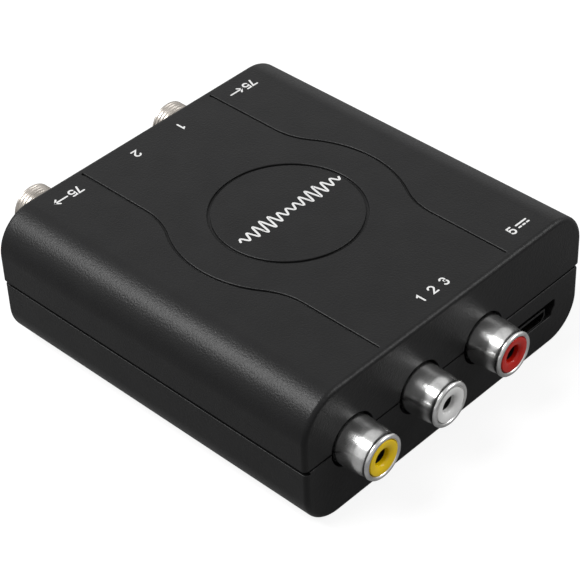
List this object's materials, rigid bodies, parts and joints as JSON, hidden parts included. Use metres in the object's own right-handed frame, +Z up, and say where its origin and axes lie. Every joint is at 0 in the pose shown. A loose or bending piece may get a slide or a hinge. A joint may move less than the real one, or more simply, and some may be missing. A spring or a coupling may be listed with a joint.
{
  "type": "rf modulator",
  "caption": "Small black desktop box that turns phono video and sound into an aerial signal, with a channel switch and threaded aerial sockets at the back.",
  "frame": {"origin": "middle of the case's underside, on the surface that it stands on", "axes": "+Z up; -Y is the face with the phono jacks and the power inlet, +Y the face with the aerial sockets and the channel switch"},
  "size_m": [0.075, 0.0987, 0.0288],
  "materials": {
    "case_black": "fine-grained matt black moulded plastic",
    "moulded_black": "plain black moulded plastic",
    "nickel": "bright nickel plate",
    "insert_yellow": "semi-gloss yellow plastic",
    "insert_white": "semi-gloss white plastic",
    "insert_red": "semi-gloss red plastic",
    "insulator_white": "matt off-white plastic",
    "gilt_contact": "thin gold plate",
    "tinned_steel": "dull tin plate",
    "screw_steel": "zinc plate",
    "board_green": "green solder mask",
    "chip_black": "matt black epoxy",
    "ferrite": "dark grey ferrite",
    "enamelled_wire": "varnished copper",
    "phenolic_brown": "brown phenolic board",
    "sleeve_blue": "dark blue shrink sleeve",
    "ceramic_tan": "tan ceramic"
  },
  "bodies": {
    "case": {"top_shell": "case_black", "bottom_shell": "case_black", "case_screws": "screw_steel", "main_board": "board_green", "jack_block": "moulded_black", "video_barrel": "nickel", "left_audio_barrel": "nickel", "right_audio_barrel": "nickel", "video_insert": "insert_yellow", "left_audio_insert": "insert_white", "right_audio_insert": "insert_red", "video_contact": "gilt_contact", "left_audio_contact": "gilt_contact", "right_audio_contact": "gilt_contact", "inlet_shell": "nickel", "inlet_tongue": "moulded_black", "inlet_contacts": "gilt_contact", "aerial_in_socket": "nickel", "aerial_out_socket": "nickel", "aerial_in_insulator": "insulator_white", "aerial_out_insulator": "insulator_white", "aerial_in_contact": "gilt_contact", "aerial_out_contact": "gilt_contact", "can_frame": "tinned_steel", "can_lid": "tinned_steel", "modulator_chip": "chip_black", "reference_crystal": "tinned_steel", "tuning_coil_can": "tinned_steel", "tuning_coil_core": "ferrite", "splitter_core": "ferrite", "splitter_winding": "enamelled_wire", "switch_cover": "tinned_steel", "switch_base": "phenolic_brown", "switch_pins": "gilt_contact", "filter_capacitors": "sleeve_blue", "voltage_regulator": "chip_black", "supply_choke": "ferrite", "chip_resistors": "chip_black", "chip_capacitors": "ceramic_tan"},
    "channel_slider": {"switch_slider": "moulded_black"}
  },
  "joints": [
    {"name": "channel_slide", "type": "slide", "parent": "case", "child": "channel_slider", "axis": [1, 0, 0], "range_m": [-0.0025, 0]}
  ]
}
